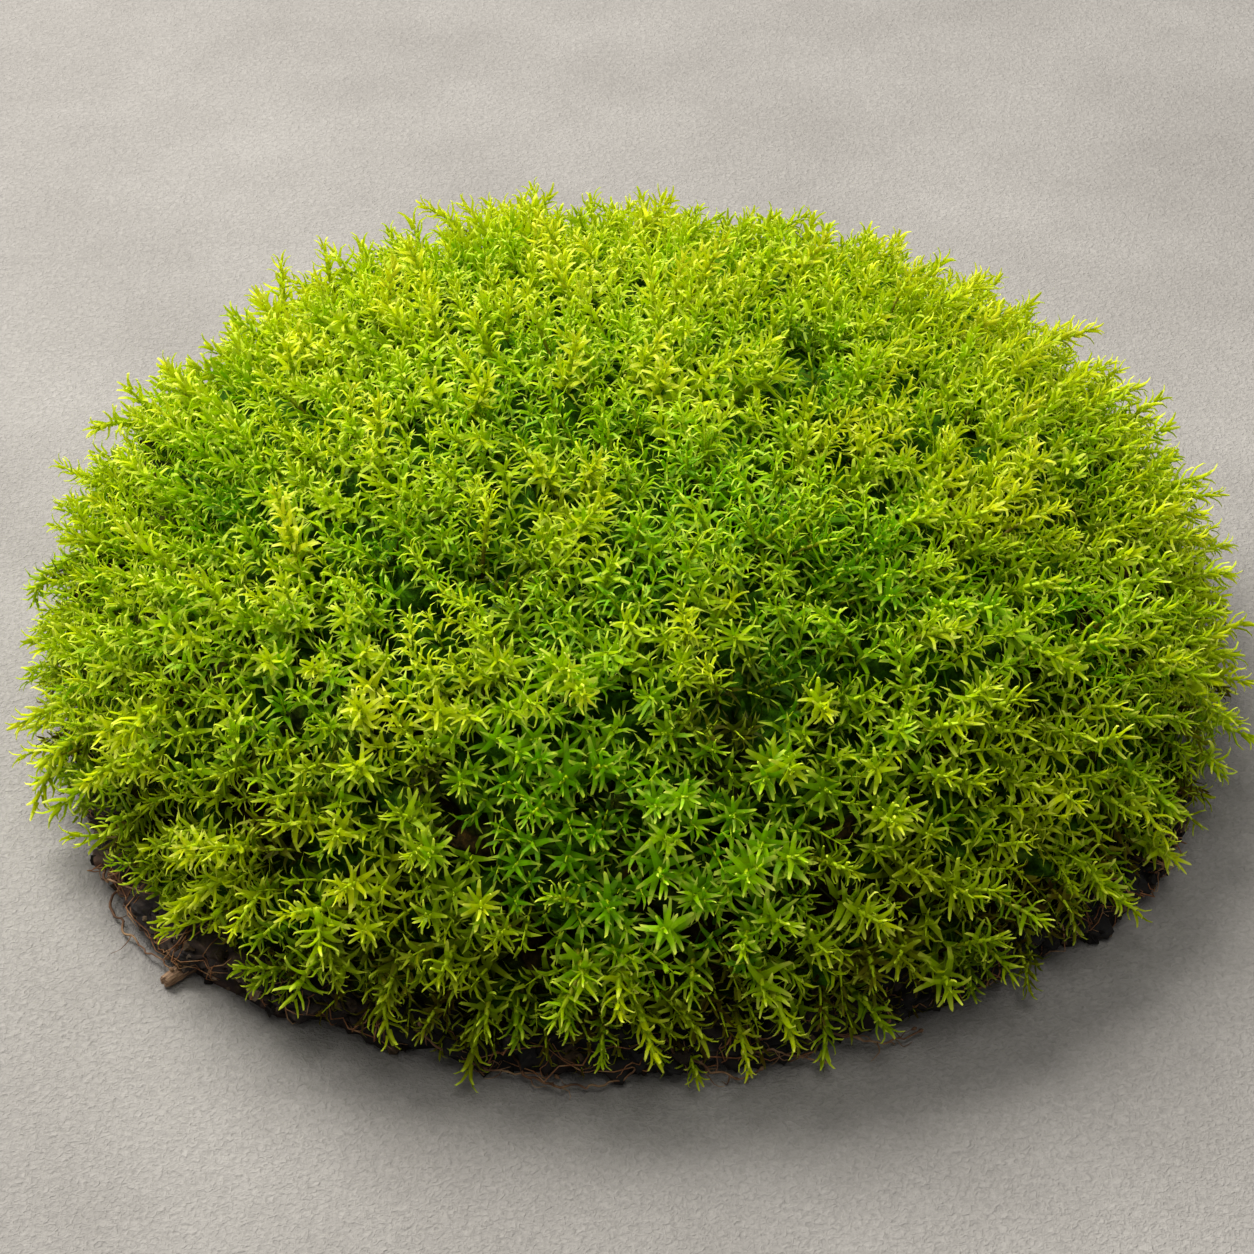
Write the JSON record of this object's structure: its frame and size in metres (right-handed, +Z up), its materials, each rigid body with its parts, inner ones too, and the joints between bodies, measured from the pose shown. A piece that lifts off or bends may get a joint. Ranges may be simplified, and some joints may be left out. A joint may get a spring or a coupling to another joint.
{
  "type": "moss clump",
  "caption": "Domed cushion of star-leaved moss on a clod of dark soil, cut off flat underneath so that it rests on any level surface.",
  "frame": {"origin": "middle of the flat cut underside, on the surface it rests on", "axes": "+Z up through the crown of the cushion; -Y towards the side with the most drooping shoots; +X to the right seen from there"},
  "size_m": [0.1818, 0.1794, 0.0625],
  "materials": {
    "moss": "soft living moss leaves, slightly translucent",
    "soil": "damp crumbly soil",
    "dry_stem": "dry, matte",
    "twig": "broken wood, matte"
  },
  "bodies": {
    "root": {"moss_cushion": "moss", "soil": "soil", "root_1": "dry_stem", "root_2": "dry_stem", "root_3": "dry_stem", "root_4": "dry_stem", "root_5": "dry_stem", "root_6": "dry_stem", "root_7": "dry_stem", "root_8": "dry_stem", "root_9": "dry_stem", "twig_stub": "twig"}
  },
  "joints": []
}
